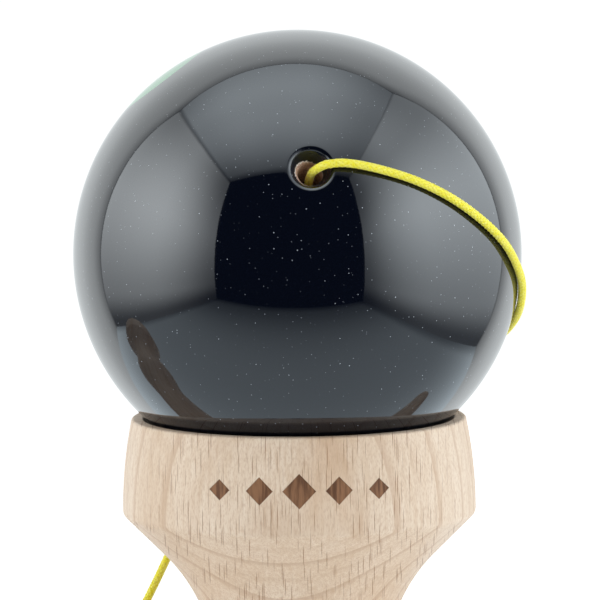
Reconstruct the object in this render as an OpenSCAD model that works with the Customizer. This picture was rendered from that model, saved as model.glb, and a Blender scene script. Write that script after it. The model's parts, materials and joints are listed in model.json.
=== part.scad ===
// Kendama: a ball on a string, a turned double cup (sarado) and a handle with a spike (ken).
// Millimetres. The origin is the centre of the small cup's rim, on which the toy stands.
// +Z runs up the double cup's axis and +X along the ken towards its spike.

/* [Ball] */
// Diameter of the ball
tama_d = 60; // [57:0.5:63]
// Gap between the ball and the rim of the big cup
tama_gap = 0.3; // [0.2:0.05:0.5]
// Diameter of the spike hole
spike_hole_d = 22; // [20:0.5:24]
// Width of the bevel round the mouth of the spike hole
spike_hole_bevel = 1.5; // [0.5:0.1:2.5]
// Reach of the spike hole's wall past the ball's centre
spike_hole_reach = 10.5; // [8:0.5:11]
// Depth of the bead pocket past the drill's shoulder
pocket_depth = 5.2; // [4.6:0.1:5.6]
// Point angle of the drills that end the hole and the pocket
drill_point = 118; // [110:1:130]
// Diameter of the string hole
string_hole_d = 3.3; // [2.6:0.1:3.8]
// Diameter of the countersink at the mouth of the string hole
mouth_d = 5.5; // [4.8:0.1:7]
// Depth of that countersink
mouth_depth = 2; // [1.4:0.1:3]
// Rounding on the lip of the mouth
mouth_round = 0.65; // [0.2:0.05:0.8]
// Tilt of the string hole above level
hole_tilt = 27; // [10:1:45]
// Turn of the string hole to the right of the viewer
hole_turn = 4; // [-20:1:20]

/* [Bead] */
// Diameter of the bead
bead_d = 8; // [7:0.1:9]
// Length of the bead along the string
bead_length = 7; // [6:0.1:7.4]
// Diameter of the hole through the bead
bead_hole_d = 2.2; // [1.8:0.1:2.8]
// Play round the bead in its pocket
bead_play = 0.7; // [0.3:0.1:1.2]
// Gap between the bead and the end of its pocket
bead_gap = 0.2; // [0.1:0.05:0.4]

/* [Double cup] */
// Length from the ken's axis to the rim of the big cup
big_length = 36.7; // [34:0.1:40]
// Widest diameter of the big cup
big_d = 47.4; // [46:0.1:49]
// Diameter over the rim of the big cup
big_rim_d = 45; // [44:0.1:45.6]
// Diameter of the seat edge that carries the ball
big_seat_d = 41.8; // [38:0.1:42.4]
// Height of the upright band of the big cup
big_band = 12.8; // [10:0.1:14]
// Depth of the dish in the big cup
big_dish = 10.5; // [9.5:0.1:12]
// Length from the ken's axis to the rim of the small cup
small_length = 32.5; // [30:0.1:36]
// Widest diameter of the small cup
small_d = 43; // [41.8:0.1:45]
// Diameter over the rim of the small cup
small_rim_d = 41.4; // [39:0.1:41.8]
// Diameter of the seat edge of the small cup
small_seat_d = 38.2; // [34:0.1:38.8]
// Height of the upright band of the small cup
small_band = 11.5; // [9:0.1:12.5]
// Depth of the dish in the small cup
small_dish = 9; // [7.5:0.1:10.5]
// Diameter of the waist between the cups
waist_d = 23; // [22:0.1:25]
// Length of the straight part of the waist, from end to end
waist_straight = 4; // [2:0.1:6]
// Angle of the flare between the waist and a cup, from the turning axis
cup_flare = 45; // [42:1:48]
// Rounding on the corner below a cup's band
corner_round = 1.2; // [0.6:0.1:2]
// Rounding on the edges of a rim
rim_round = 0.4; // [0.2:0.05:0.6]
// Diameter of the string hole in the back of the waist
waist_hole_d = 4; // [3:0.1:5]
// Width of the bevel round that hole
waist_hole_bevel = 0.5; // [0.2:0.1:0.8]

/* [Ken] */
// Reach of the spike's tip from the double cup's axis
spike_reach = 53; // [48:0.5:54]
// Radius of the spike's rounded tip
tip_round = 4.2; // [3:0.1:5]
// Diameter of the tapered seat at the double cup's axis
seat_d = 16.4; // [15:0.1:17]
// Diameter that the seat gains for each millimetre towards the base
seat_taper = 0.035; // [0.02:0.005:0.05]
// Radial clearance between the seat and the double cup's bore
seat_clearance = 0.03; // [0.01:0.01:0.1]
// Diameter of the neck
neck_d = 18.6; // [17.6:0.1:20]
// Length of the neck from the double cup's waist to the grip
neck_length = 38.5; // [34:0.5:42]
// Widest diameter of the grip
grip_d = 27; // [24:0.1:32]
// Length over which the grip swells to that diameter
grip_swell = 18; // [14:0.5:22]
// Diameter of the collar between the grip and the base cup
collar_d = 22.8; // [21:0.1:25]
// Length over which the grip falls to the collar
grip_fall = 13; // [10:0.5:16]
// Length of the base cup from the collar to its rim
base_length = 29; // [27:0.5:31]
// Angle of the base cup's flare from the turning axis
base_flare = 30; // [28:1:33]
// Widest diameter of the base cup
base_d = 36; // [35:0.1:38]
// Diameter over the rim of the base cup
base_rim_d = 34.4; // [33:0.1:34.8]
// Diameter of the seat edge of the base cup
base_seat_d = 31; // [28:0.1:32]
// Height of the band of the base cup
base_band = 12.5; // [10:0.1:14]
// Depth of the dish in the base cup
base_dish = 9.5; // [7:0.1:11]

/* [String] */
// Diameter of the braided string
string_d = 1.15; // [1:0.05:1.5]
// Diameter of a stopper knot
knot_d = 3.8; // [3.2:0.1:4.2]
// Number of wraps in a stopper knot
knot_wraps = 2; // [1:1:3]
// Gap between the string's parts and what they pass or meet
string_gap = 0.15; // [0.1:0.05:0.25]
// Diameter of the cross hole through the ken
cross_hole_d = 2.4; // [2:0.1:3]
// Shift of the cross hole towards the base from the hole in the waist
cross_shift = 1.6; // [1.2:0.1:2]
// Diameter of the countersink where the string enters the ken
cross_mouth_d = 7.6; // [7:0.1:8.4]
// Diameter of the ken's pocket for its knot
knot_pocket_d = 5; // [4.6:0.1:6]
// Distance of that pocket's floor from the ken's axis
knot_pocket_floor = 4; // [3:0.1:4.4]

/* [Hidden] */
$fn = 96;
tube_sides = 8;
rings_per_point = 2;
first_side = [0.3, 0.2, 1];
sweep_steps = 14;
dish_steps = 14;
band_steps = 8;
edge_steps = 5;
neck_steps = 8;
grip_steps = 14;
tip_steps = 10;
lip_steps = 6;
bead_steps = 16;
knot_steps = 5;
jog_steps = 4;
over = 1;
ken_z = small_length;
waist_r = waist_d / 2;
tama_r = tama_d / 2;
spike_hole_r = spike_hole_d / 2;
string_hole_r = string_hole_d / 2;
mouth_r = mouth_d / 2;
bead_r = bead_d / 2;
string_r = string_d / 2;
knot_r = knot_d / 2;
knot_length = knot_wraps * string_d;
neck_reach = waist_r + neck_length;
grip_reach = neck_reach + grip_swell;
collar_reach = grip_reach + grip_fall;

// The ball lies tama_gap off the rounded inner edge of the big cup's rim
seat_edge_r = edge_centre(big_seat_d / 2, big_dish);
seat_edge_z = small_length + big_length - rim_round;
seat_reach = tama_r + tama_gap + rim_round;
tama_z = seat_edge_z + sqrt(seat_reach * seat_reach - seat_edge_r * seat_edge_r);

// Places along the ball's drilled axis, from its centre towards the string hole's mouth
drill_slope = tan(drill_point / 2);
pocket_r = bead_r + bead_play;
pocket_start = spike_hole_reach + (spike_hole_r - pocket_r) / drill_slope;
pocket_end = pocket_start + pocket_depth;
pocket_apex = pocket_end + pocket_r / drill_slope;
bead_at = pocket_apex - (bead_r + bead_gap) / sin(drill_point / 2);
bead_knot_end = bead_at - bead_length / 2 - string_gap;

// The ken's cross hole, its knot and the jog of the string into the hole
cross_mouth_depth = (cross_mouth_d - cross_hole_d) / 2;
knot_floor_y = -knot_pocket_floor - string_gap;
jog_start = seat_r(0) - cross_mouth_depth - string_d;
jog_end = seat_r(0) - string_gap;
jog_turn = 2 * atan(cross_shift / (jog_end - jog_start));
jog_r = (jog_end - jog_start) / (2 * sin(jog_turn));

// Route of the string from the bead, over the ball's right side, round its back, over the rim
// of the big cup, down to the floor, round under the grip and up to the hole in the waist
string_route = [
    [1.3, -18.8, 100.7], [1.7, -23.8, 103.3], [2.4, -25.9, 104.4], [4.3, -26.9, 105.3],
    [7, -26.6, 105.3], [11, -25.6, 104.4], [15.5, -23.9, 102.8], [20, -21.5, 100.4],
    [24, -18.3, 97.3], [27.1, -14.4, 94], [29, -10.4, 90.6], [30, -5.7, 87.2],
    [29.8, -0.9, 83.4], [28.4, 4.6, 80.2], [25.4, 10.6, 77], [20.5, 16.6, 73.8],
    [14, 20.8, 71.4], [7, 22.8, 70.3], [0, 23.2, 70], [-6, 22.6, 69.6],
    [-10.3, 22.2, 66.5], [-14.6, 21.8, 55.3], [-21.4, 22, 40.7], [-28.5, 22.2, 28.6],
    [-40, 23, 14.4], [-54, 24.6, 4.6], [-70, 26, 0.95], [-89, 26.4, 0.85],
    [-101.5, 20.5, 0.85], [-98, 12.4, 0.85], [-81, 9.2, 0.85], [-60, 10.2, 0.85],
    [-38, 13, 0.85], [-18, 18.8, 1.4], [-6, 22.6, 8], [-1.5, 21, 20],
    [0, 17.8, 29], [0, 14.3, 32.3], [0, 11, 32.5], [0, 8.3, 32.5]
];

// Radius of the ken's seat at a distance x along the ken
function seat_r(x) = (seat_d - seat_taper * x) / 2;

// Points on an arc in the profile plane
function on_circle(centre, radius, angle) = centre + radius * [cos(angle), sin(angle)];
function arc(centre, radius, from, to, steps) =
    [for (i = [0 : steps]) on_circle(centre, radius, from + (to - from) * i / steps)];
function after_first(points) = [for (i = [1 : len(points) - 1]) points[i]];

// Points on an S-shaped swell between two [radius, place] stations, without the first
function swell(a, b, steps) =
    [for (i = [1 : steps])
        [a.x + (b.x - a.x) * (1 - cos(180 * i / steps)) / 2, a.y + (b.y - a.y) * i / steps]];

// Radius of a dish, and of the circle on which the rounding of its inner edge has its centre
function dish_radius(seat, depth) = (seat * seat + depth * depth) / (2 * depth);
function edge_centre(seat, depth) =
    let (reach = dish_radius(seat, depth) + rim_round)
    sqrt(reach * reach - (reach - depth) * (reach - depth));

// Profile of one cup as [radius, height], from its waist, over the band and rim, to the dish's middle
function cup(waist, straight, flare, length, wide, rim, seat, band, dish) =
    let (
        rise = length - band - straight,
        sweep_r = (rise - (wide - waist) / tan(flare)) / (sin(flare) - (1 - cos(flare)) / tan(flare)),
        band_start = length - band + corner_round * tan(flare / 2),
        band_rise = length - rim_round - band_start,
        draw_in = wide - rim,
        band_r = (band_rise * band_rise + draw_in * draw_in) / (2 * draw_in),
        band_turn = asin(band_rise / band_r),
        dish_r = dish_radius(seat, dish),
        edge_r = edge_centre(seat, dish),
        edge_turn = asin(edge_r / (dish_r + rim_round))
    )
    concat(
        arc([waist + sweep_r, straight], sweep_r, 180, 180 - flare, sweep_steps),
        arc([wide - corner_round, band_start], corner_round, -flare, 0, edge_steps),
        after_first(arc([wide - band_r, band_start], band_r, 0, band_turn, band_steps)),
        after_first(arc([rim - rim_round, length - rim_round], rim_round, 0, 90, edge_steps)),
        arc([edge_r, length - rim_round], rim_round, 90, 90 + edge_turn, edge_steps),
        after_first(arc([0, length - dish + dish_r], dish_r, -90 + edge_turn, -90, dish_steps))
    );

function flipped(points) = [for (i = [len(points) - 1 : -1 : 0]) points[i]];

// Smooth curve through a list of points, with a number of rings to each
function blended(a, b, c, d, t) =
    b + ((c - a) * t + (2 * a - 5 * b + 4 * c - d) * t * t + (3 * b - a - 3 * c + d) * t * t * t) / 2;
function smooth(p, rings) =
    concat(
        [for (i = [0 : len(p) - 2], k = [0 : rings - 1])
            blended(p[max(i - 1, 0)], p[i], p[i + 1], p[min(i + 2, len(p) - 1)], k / rings)],
        [p[len(p) - 1]]
    );

// Directions along a path, and a side direction carried along it without twisting
function unit(v) = v / norm(v);
function headings(p) =
    [for (i = [0 : len(p) - 1]) unit(p[min(i + 1, len(p) - 1)] - p[max(i - 1, 0)])];
function square_to(v, heading) = unit(v - (v * heading) * heading);
function sides_of(h) =
    [for (i = 0, v = square_to(first_side, h[0]); i < len(h);
        v = square_to(v, h[min(i + 1, len(h) - 1)]), i = i + 1) v];

// A stopper knot as bulging wraps along the string: places from the knot's start, then radii on a path
// that begins with those places
knot_parts = [for (w = [0 : knot_wraps - 1], k = [1 : knot_steps]) w + (k - 0.5) / knot_steps];
knot_places = knot_parts * string_d;
function knot_radii(path) =
    [for (i = [0 : len(path) - 1])
        i < len(knot_parts)
            ? string_r + (knot_r - string_r) * sqrt(sin(180 * (knot_parts[i] % 1)))
            : string_r];

// One tube along a path, with a radius at each point
module tube(path, radii) {
    h = headings(path);
    v = sides_of(h);
    n = tube_sides;
    last = len(path) - 1;
    ring_points = [for (i = [0 : last], j = [0 : n - 1])
        path[i] + radii[i] * (cos(360 * j / n) * v[i] + sin(360 * j / n) * cross(h[i], v[i]))];
    lower = [for (i = [0 : last - 1], j = [0 : n - 1])
        [i * n + j, (i + 1) * n + j, (i + 1) * n + (j + 1) % n]];
    upper = [for (i = [0 : last - 1], j = [0 : n - 1])
        [i * n + j, (i + 1) * n + (j + 1) % n, i * n + (j + 1) % n]];
    ends = [[for (j = [0 : n - 1]) j], [for (j = [n - 1 : -1 : 0]) last * n + j]];
    polyhedron(ring_points, concat(lower, upper, ends));
}

// Moves to the ball's centre and turns +Z along its drilled axis
module on_drilled_axis() {
    translate([0, 0, tama_z]) rotate([90 - hole_tilt, 0, hole_turn]) children();
}

// Moves to the ken's axis and turns +Z along +X
module on_ken_axis() {
    translate([0, 0, ken_z]) rotate([0, 90, 0]) children();
}

// Double cup: one turned profile, with the taper bore for the ken and the hole for the string
module sarado() {
    big = cup(waist_r, waist_straight / 2, cup_flare, big_length, big_d / 2, big_rim_d / 2,
        big_seat_d / 2, big_band, big_dish);
    small = cup(waist_r, waist_straight / 2, cup_flare, small_length, small_d / 2, small_rim_d / 2,
        small_seat_d / 2, small_band, small_dish);
    bore_half = waist_r + over;
    color("burlywood") difference() {
        rotate_extrude() polygon(concat(
            [for (p = flipped(big)) [p.x, ken_z + p.y]],
            [for (p = small) [p.x, ken_z - p.y]]
        ));
        on_ken_axis() translate([0, 0, -bore_half])
            cylinder(
                h = 2 * bore_half,
                r1 = seat_r(-bore_half) + seat_clearance,
                r2 = seat_r(bore_half) + seat_clearance
            );
        translate([0, 0, ken_z]) rotate([-90, 0, 0]) {
            cylinder(h = waist_r + over, d = waist_hole_d);
            translate([0, 0, waist_r - waist_hole_bevel])
                cylinder(
                    h = 2 * waist_hole_bevel,
                    d1 = waist_hole_d,
                    d2 = waist_hole_d + 4 * waist_hole_bevel
                );
        }
    }
}

// Handle: spike, tapered seat, neck, bulged grip, collar and base cup in one turned profile
module ken() {
    spike_root = waist_r;
    spike_lean = atan((seat_r(spike_root) - tip_round) / (spike_reach - tip_round - spike_root));
    neck_start = [seat_r(-waist_r), -waist_r];
    neck_end = [neck_d / 2, -neck_reach];
    grip = [grip_d / 2, -grip_reach];
    collar = [collar_d / 2, -collar_reach];
    base = cup(collar.x, 0, base_flare, base_length, base_d / 2, base_rim_d / 2, base_seat_d / 2,
        base_band, base_dish);
    color("wheat") difference() {
        on_ken_axis() rotate_extrude() polygon(concat(
            arc([0, spike_reach - tip_round], tip_round, 90, spike_lean, tip_steps),
            [[seat_r(spike_root), spike_root], neck_start],
            swell(neck_start, neck_end, neck_steps),
            swell(neck_end, grip, grip_steps),
            swell(grip, collar, grip_steps),
            [for (p = after_first(base)) [p.x, -collar_reach - p.y]]
        ));
        translate([-cross_shift, 0, ken_z]) rotate([-90, 0, 0]) {
            translate([0, 0, -seat_d]) cylinder(h = 2 * seat_d, d = cross_hole_d);
            translate([0, 0, seat_r(0) - cross_mouth_depth])
                cylinder(
                    h = 2 * cross_mouth_depth,
                    d1 = cross_hole_d,
                    d2 = 2 * cross_mouth_d - cross_hole_d
                );
            translate([0, 0, -seat_d]) cylinder(h = seat_d - knot_pocket_floor, d = knot_pocket_d);
        }
    }
}

// Ball: a sphere with one turned cut from the spike hole's bevel to the lip of the string hole
module tama() {
    bevel_r = spike_hole_r + spike_hole_bevel;
    bevel_at = -sqrt(tama_r * tama_r - bevel_r * bevel_r);
    mouth_at = sqrt(tama_r * tama_r - mouth_r * mouth_r);
    lip_turn = 90 - atan((mouth_r - string_hole_r) / mouth_depth);
    lip_r = mouth_r + mouth_round * tan(lip_turn / 2);
    color("#141922") on_drilled_axis() difference() {
        sphere(d = tama_d);
        rotate_extrude() polygon(concat(
            [
                [0, -tama_r - over],
                [bevel_r + bevel_at + tama_r + over, -tama_r - over],
                [spike_hole_r, bevel_at + spike_hole_bevel],
                [spike_hole_r, spike_hole_reach],
                [pocket_r, pocket_start],
                [pocket_r, pocket_end],
                [string_hole_r, pocket_apex - string_hole_r / drill_slope],
                [string_hole_r, mouth_at - mouth_depth]
            ],
            arc([lip_r, mouth_at - mouth_round], mouth_round, 90 + lip_turn, 90, lip_steps),
            [[lip_r, tama_r + over], [0, tama_r + over]]
        ));
    }
}

// Bead: a turned round bead on the ball's drilled axis, with flat ends and a hole for the string
module bead() {
    end_angle = asin(bead_length / bead_d);
    color("peru") on_drilled_axis() translate([0, 0, bead_at]) difference() {
        rotate_extrude() polygon(concat(
            [[0, -bead_length / 2]],
            arc([0, 0], bead_r, -end_angle, end_angle, bead_steps),
            [[0, bead_length / 2]]
        ));
        cylinder(h = bead_length + 2 * over, d = bead_hole_d, center = true);
    }
}

// Free stretch of the string, from the bead to the hole in the waist
module string() {
    path = smooth(string_route, rings_per_point);
    color("gold") tube(path, [for (p = path) string_r]);
}

// Stopper knot behind the bead, with the string that runs through the bead
module bead_knot() {
    knot_start = bead_knot_end - knot_length;
    bead_front = bead_at + bead_length / 2;
    path = concat(
        [for (place = knot_places) [0, 0, knot_start + place]],
        [[0, 0, bead_knot_end], [0, 0, bead_front]]
    );
    color("gold") on_drilled_axis() tube(path, knot_radii(path));
}

// Stopper knot in the ken's pocket, with the string that runs through the cross hole to the waist
module ken_knot() {
    knot_start = knot_floor_y - knot_length;
    flat_path = concat(
        [for (place = knot_places) [-cross_shift, knot_start + place]],
        [[-cross_shift, knot_floor_y]],
        arc([jog_r - cross_shift, jog_start], jog_r, 180, 180 - jog_turn, jog_steps),
        after_first(arc([-jog_r, jog_end], jog_r, -jog_turn, 0, jog_steps))
    );
    path = [for (p = flat_path) [p.x, p.y, ken_z]];
    color("gold") tube(path, knot_radii(path));
}

sarado();
ken();
tama();
bead();
string();
bead_knot();
ken_knot();
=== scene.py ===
# %% [markdown]
# # A kendama in black lacquer and pale beech
# A kendama is a ball (tama) on a string, a double cup (sarado) and a handle with a spike (ken).
# The lesson loads the construction model as a fixed frame, makes each piece again as a smooth surface,
# gives it its finish, and sets it in a small white photo tent.

# %% Load the frame
import json
import math

import bpy
import numpy as np
from mathutils import Matrix, Vector


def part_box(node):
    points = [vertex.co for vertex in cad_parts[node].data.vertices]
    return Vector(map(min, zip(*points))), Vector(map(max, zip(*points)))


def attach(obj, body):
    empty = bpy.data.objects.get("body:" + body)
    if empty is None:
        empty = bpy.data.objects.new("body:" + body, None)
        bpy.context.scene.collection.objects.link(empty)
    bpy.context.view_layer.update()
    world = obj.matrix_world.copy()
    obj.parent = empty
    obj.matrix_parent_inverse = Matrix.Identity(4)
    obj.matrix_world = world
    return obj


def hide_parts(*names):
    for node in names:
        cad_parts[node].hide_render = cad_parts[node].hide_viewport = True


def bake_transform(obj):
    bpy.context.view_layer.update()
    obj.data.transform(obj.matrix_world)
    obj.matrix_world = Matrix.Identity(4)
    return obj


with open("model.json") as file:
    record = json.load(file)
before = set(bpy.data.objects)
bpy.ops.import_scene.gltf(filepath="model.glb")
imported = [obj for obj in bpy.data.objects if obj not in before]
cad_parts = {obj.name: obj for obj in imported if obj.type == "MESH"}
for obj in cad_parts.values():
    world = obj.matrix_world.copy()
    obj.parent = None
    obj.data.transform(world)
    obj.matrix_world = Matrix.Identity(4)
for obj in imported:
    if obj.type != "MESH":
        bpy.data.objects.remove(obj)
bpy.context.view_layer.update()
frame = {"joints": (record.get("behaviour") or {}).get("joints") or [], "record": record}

mm = 0.001


def unit(vectors):
    """The same directions, each with length one."""
    return vectors / np.linalg.norm(vectors, axis=-1, keepdims=True)


joints = {joint["name"]: joint for joint in frame["joints"]}
mounts = {mount["name"]: mount for mount in frame["record"]["mounts"]}
tama_centre = np.array(joints["tama_spin"]["pos_m"]) / mm
drilled_axis = unit(np.array(joints["tama_spin"]["axis"]))
base_rim_x, _, ken_axis_z = np.array(mounts["base_cup_rim"]["pos_m"]) / mm
spike_tip_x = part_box("ken")[1].x / mm
print("ball centre, mm:", tama_centre.round(2), "drilled axis:", drilled_axis.round(3))
print("handle from", round(base_rim_x, 1), "to", round(spike_tip_x, 1), "mm at height", ken_axis_z)

# %% [markdown]
# ## Camera
# The picture is a close portrait from just above level: the ball fills it and only the top cup shows.
# A long lens from 0.7 m keeps the ball round. The ball's known size gives the focal length, and its place
# in the frame gives the aim, so the camera needs no shift.

# %% Camera
tama_r = 30.0
picture_px = 600
ball_px = (297.4, 254.0)
ball_px_r = 224.4
sensor_mm = 36.0
camera_far = 700.0
camera_rise = math.radians(5.4)
camera_roll = math.radians(-0.45)
nearest_seen = 0.01


def placed(name, data):
    """A new object with this data, linked into the scene."""
    made = bpy.data.objects.new(name, data)
    bpy.context.scene.collection.objects.link(made)
    return made


focal_px = ball_px_r / math.tan(math.asin(tama_r / camera_far))
to_camera = Vector((0, -math.cos(camera_rise), math.sin(camera_rise)))
right_px = ball_px[0] - picture_px / 2
up_px = picture_px / 2 - ball_px[1]
ball_in_view = Vector((right_px / focal_px, up_px / focal_px, -1))
facing = (-to_camera).to_track_quat("-Z", "Y").to_matrix()
off_axis = ball_in_view.rotation_difference(Vector((0, 0, -1))).to_matrix()
turn = facing @ Matrix.Rotation(camera_roll, 3, "Z") @ off_axis

camera_data = bpy.data.cameras.new("portrait_camera")
camera_data.sensor_width = sensor_mm
camera_data.lens = focal_px * sensor_mm / picture_px
camera_data.clip_start = nearest_seen
camera = placed("portrait_camera", camera_data)
camera_place = (Vector(tama_centre) + camera_far * to_camera) * mm
camera.matrix_world = Matrix.Translation(camera_place) @ turn.to_4x4()
bpy.context.scene.camera = camera
print("lens, mm:", round(camera_data.lens, 1))

# %% [markdown]
# ## Surfaces from grids
# Every piece here is turned on a lathe or drawn along a path, so each is a grid of points: one parameter
# goes along the profile or the path, the other goes round. One helper makes the mesh from such a grid, and
# turns all faces outwards by the sign of the volume they enclose.

# %% A grid becomes a mesh
sharp_angle = math.radians(32)
mm3_in_cm3 = 1000


def surface(name, points, wrap_rows=False, poles=(None, None)):
    """A closed mesh from a grid (rows, columns, 3) in mm. Each face joins two neighbours of a row with the
    two in the next row. Columns always close round. Rows close if asked, or end in a pole or a flat cap."""
    rows, cols = points.shape[:2]
    index = np.arange(rows * cols).reshape(rows, cols)
    index = np.hstack([index, index[:, :1]])
    if wrap_rows:
        index = np.vstack([index, index[:1]])
    faces = np.stack([index[:-1, :-1], index[:-1, 1:], index[1:, 1:], index[1:, :-1]], axis=-1)
    faces = faces.reshape(-1, 4)
    places = points.reshape(-1, 3)
    fans = []
    for pole, ring in zip(poles, (index[0, ::-1], index[-1])):
        if pole is not None:
            hub = np.full(cols, len(places))
            places = np.vstack([places, pole])
            fans.append(np.stack([ring[:-1], ring[1:], hub], axis=-1))
    corners = [(faces[:, 0], faces[:, 1], faces[:, 2]), (faces[:, 0], faces[:, 2], faces[:, 3])]
    corners += [tuple(fan.T) for fan in fans]
    six_volumes = sum(np.einsum("ij,ij->", places[a], np.cross(places[b], places[c])) for a, b, c in corners)
    if six_volumes < 0:
        faces = faces[:, ::-1]
        fans = [fan[:, ::-1] for fan in fans]
    triangles = [face for fan in fans for face in fan.tolist()]
    mesh = bpy.data.meshes.new(name)
    mesh.from_pydata((places * mm).tolist(), [], faces.tolist() + triangles)
    mesh.polygons.foreach_set("use_smooth", np.ones(len(mesh.polygons), bool))
    mesh.set_sharp_from_angle(angle=sharp_angle)
    mesh.update()
    piece = placed(name, mesh)
    volume = round(abs(six_volumes) / 6 / mm3_in_cm3, 2)
    print(name, "has", len(mesh.polygons), "faces and encloses", volume, "cm3")
    return piece


# %% Lines, arcs and turned forms
def line(start, end, steps):
    """Points from start to end at even steps, without the last."""
    share = np.linspace(0, 1, steps, endpoint=False)[:, None]
    return np.array(start) + share * (np.array(end) - np.array(start))


def arc(centre, radius, start, end, steps):
    """Points on a circle about centre, from one angle to another in degrees, both ends in."""
    angle = np.radians(np.linspace(start, end, steps + 1))
    return np.array(centre) + radius * np.stack([np.cos(angle), np.sin(angle)], axis=-1)


def turned(profile, origin, along, segments):
    """A turned form: every [radius, place] of the profile goes once round the axis. In the axis's own frame
    the point is radius times (cosine, sine) sideways, and place along it."""
    along = np.array(along, float)
    helper = np.eye(3)[np.argmin(np.abs(along))]
    side = unit(np.cross(helper, along))
    angle = np.linspace(0, 2 * np.pi, segments, endpoint=False)[:, None]
    round_axis = np.cos(angle) * side + np.sin(angle) * np.cross(along, side)
    return np.array(origin) + profile[:, None, :1] * round_axis + profile[:, None, 1:2] * along


# %% [markdown]
# ## The string
# The string is a thin braid that comes out of the ball, bends over the lip of its hole and lies on the ball.
# It goes round the back, falls to the table and comes up into the hole in the cup's waist. Its route is a
# given list of points with a smooth curve through them, the same list that the solid model follows.

# %% Route of the string, in mm
string_route = np.array([
    [1.3, -18.8, 100.7], [1.7, -23.8, 103.3], [2.4, -25.9, 104.4], [4.3, -26.9, 105.3],
    [7, -26.6, 105.3], [11, -25.6, 104.4], [15.5, -23.9, 102.8], [20, -21.5, 100.4],
    [24, -18.3, 97.3], [27.1, -14.4, 94], [29, -10.4, 90.6], [30, -5.7, 87.2],
    [29.8, -0.9, 83.4], [28.4, 4.6, 80.2], [25.4, 10.6, 77], [20.5, 16.6, 73.8],
    [14, 20.8, 71.4], [7, 22.8, 70.3], [0, 23.2, 70], [-6, 22.6, 69.6],
    [-10.3, 22.2, 66.5], [-14.6, 21.8, 55.3], [-21.4, 22, 40.7], [-28.5, 22.2, 28.6],
    [-40, 23, 14.4], [-54, 24.6, 4.6], [-70, 26, 0.95], [-89, 26.4, 0.85],
    [-101.5, 20.5, 0.85], [-98, 12.4, 0.85], [-81, 9.2, 0.85], [-60, 10.2, 0.85],
    [-38, 13, 0.85], [-18, 18.8, 1.4], [-6, 22.6, 8], [-1.5, 21, 20],
    [0, 17.8, 29], [0, 14.3, 32.3], [0, 11, 32.5], [0, 8.3, 32.5],
])


def through(points, steps):
    """A smooth curve through the points: on each span a cubic whose slope at a point is half the step from
    the point before to the point after."""
    ends = np.vstack([points[:1], points, points[-1:]])
    a, b, c, d = (ends[i:len(ends) - 3 + i, None] for i in range(4))
    t = np.linspace(0, 1, steps, endpoint=False)[None, :, None]
    curve = b + ((c - a) * t + (2 * a - 5 * b + 4 * c - d) * t**2 + (3 * b - a - 3 * c + d) * t**3) / 2
    return np.vstack([curve.reshape(-1, 3), points[-1:]])


def evenly(path, spacing):
    """The same path with points at an even spacing, and the length walked to each."""
    walked = np.concatenate([[0], np.cumsum(np.linalg.norm(np.diff(path, axis=0), axis=1))])
    stops = np.linspace(0, walked[-1], int(round(walked[-1] / spacing)) + 1)
    return np.stack([np.interp(stops, walked, path[:, k]) for k in range(3)], axis=-1), stops


# %% [markdown]
# The solid string keeps a hair of air to the ball. A limp string has none, so wherever the path runs close
# over the ball it is laid on the lacquer, along the line to the ball's middle.

# %% Lay the string on the ball
string_d = 1.15
string_air = 0.2
near_airs = 1.5
far_airs = 3
curve_steps = 60
ring_spacing = 0.11


def laid_on_ball(path):
    """The path, moved towards the ball's middle by up to the air between them. The share falls from one to
    none where the gap grows from one and a half airs to three, and where the path dips into the hole."""
    from_middle = path - tama_centre
    far = np.linalg.norm(from_middle, axis=1, keepdims=True)
    gap = far - tama_r - string_d / 2
    close = np.clip((far_airs - gap / string_air) / (far_airs - near_airs), 0, 1)
    outside = np.clip(gap / (string_air / 2), 0, 1)
    return path - close * outside * string_air * from_middle / far


string_path, string_walked = evenly(laid_on_ball(through(string_route, curve_steps)), ring_spacing)

# %% [markdown]
# The braid is made as geometry: strands run round the string both ways, and at each crossing one of them
# lies on top. A single tube carries this if its radius follows the strands. The sides of the tube are
# carried along the path without twist, by taking out the turn of a fixed reference frame as it goes.

# %% Braided tube
strands_each_way = 6
strand_lay = 4.4
strand_relief = 0.12
strand_low = 0.7
tube_sides = 24
reference_way = [0.12, 0.35, 0.93]


def carried_sides(path):
    """Two directions square to the path at each point. They start from a fixed reference direction and are
    then turned back by the sum of the small turns that the reference makes about the path."""
    ahead = unit(np.gradient(path, axis=0))
    side = unit(np.cross(ahead, reference_way))
    other = np.cross(ahead, side)
    small_turns = np.einsum("ij,ij->i", np.diff(side, axis=0), other[:-1])
    twist = np.concatenate([[0], np.cumsum(small_turns)])[:, None]
    return np.cos(twist) * side - np.sin(twist) * other, np.sin(twist) * side + np.cos(twist) * other


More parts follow.
